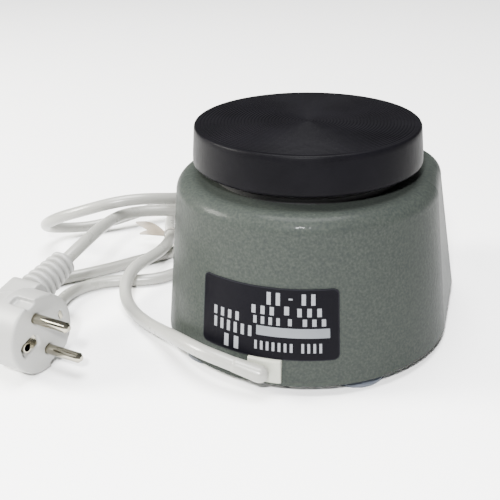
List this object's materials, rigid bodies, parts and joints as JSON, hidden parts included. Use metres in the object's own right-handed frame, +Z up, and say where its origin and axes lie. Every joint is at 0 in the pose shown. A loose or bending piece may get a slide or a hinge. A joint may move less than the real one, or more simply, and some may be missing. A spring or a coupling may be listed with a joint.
{
  "type": "bench vibrator",
  "caption": "Small bench vibrator: a round grooved rubber platform on a tapered painted housing with a sloping control panel, soft feet and a mains lead with an angled plug.",
  "frame": {"origin": "on the plane the feet stand on, below the centre of the round platform", "axes": "+Z up, -Y toward the sloping control panel, +Y toward the rounded back with the rating label and the lead"},
  "size_m": [0.2496, 0.2713, 0.1048],
  "materials": {
    "hammertone": "hammered semi-gloss",
    "panel": "satin",
    "pad_rubber": "grooved satin",
    "buffer_rubber": "matte",
    "foot_rubber": "translucent",
    "steel": "plain",
    "zinc": "zinc plated",
    "lamination": "stacked sheet",
    "copper": "enamelled wire",
    "bobbin_nylon": "plain",
    "board": "solder resist",
    "component": "plain",
    "aluminium": "extruded",
    "knob_plastic": "fine texture",
    "rocker_plastic": "gloss",
    "lead_pvc": "smooth",
    "plug_pvc": "satin",
    "block_plastic": "satin",
    "nickel": "nickel plated",
    "brass": "plain",
    "label": "printed",
    "tie_plastic": "smooth"
  },
  "bodies": {
    "base": {"housing": "hammertone", "base_plate": "zinc", "control_panel": "panel", "panel_screws": "zinc", "potentiometer": "zinc", "control_nut": "zinc", "switch_body": "component", "switch_terminals": "brass", "foot_rear_left": "foot_rubber", "foot_rear_right": "foot_rubber", "foot_front_left": "foot_rubber", "foot_front_right": "foot_rubber", "foot_screws": "zinc", "foot_nuts": "zinc", "base_screws": "zinc", "magnet_core": "lamination", "coil_bobbin": "bobbin_nylon", "coil_winding": "copper", "magnet_bracket": "zinc", "bracket_bolts": "zinc", "rubber_buffers": "buffer_rubber", "buffer_posts": "aluminium", "dust_seal": "buffer_rubber", "rating_label": "label", "control_board": "board", "board_standoffs": "bobbin_nylon", "board_screws": "zinc", "heat_sink": "aluminium", "triac": "component", "capacitor": "component", "fuse": "component", "terminal_block": "bobbin_nylon", "terminal_screws": "brass", "cord_clamp": "bobbin_nylon", "clamp_screws": "zinc", "inner_lead": "lead_pvc", "earth_stud": "brass", "cord_gland": "block_plastic", "cord_boot": "lead_pvc", "mains_lead_1": "lead_pvc", "mains_lead_2": "lead_pvc", "mains_lead_3": "lead_pvc", "mains_lead_4": "lead_pvc", "plug_body": "plug_pvc", "plug_pins": "nickel", "plug_earth_clips": "nickel", "plug_relief": "plug_pvc", "cord_tie": "tie_plastic"},
    "platform": {"armature": "lamination", "armature_spacer": "steel", "carrier_plate": "steel", "stem": "steel", "platform_plate": "steel", "platform_screw": "zinc", "platform_pad": "pad_rubber"},
    "knob": {"intensity_knob": "knob_plastic", "control_shaft": "aluminium"},
    "rocker": {"switch_rocker": "rocker_plastic"}
  },
  "joints": [
    {"name": "platform_vibration", "type": "slide", "parent": "base", "child": "platform", "axis": [0, 0, 1], "range_m": [-0.0008, 0.0008], "stiffness_N_per_m": 40000, "springref_m": 0.0002, "deforming": ["rubber_buffers"]},
    {"name": "intensity_knob_turn", "type": "hinge", "parent": "base", "child": "knob", "pos_m": [-0.019, -0.07342, 0.04], "axis": [0, 0.9494, -0.3142], "range_deg": [-140, 140]},
    {"name": "power_rocker_tilt", "type": "hinge", "parent": "base", "child": "rocker", "pos_m": [0.02, -0.07437, 0.04031], "axis": [-1, 0, 0], "range_deg": [0, 18]}
  ]
}
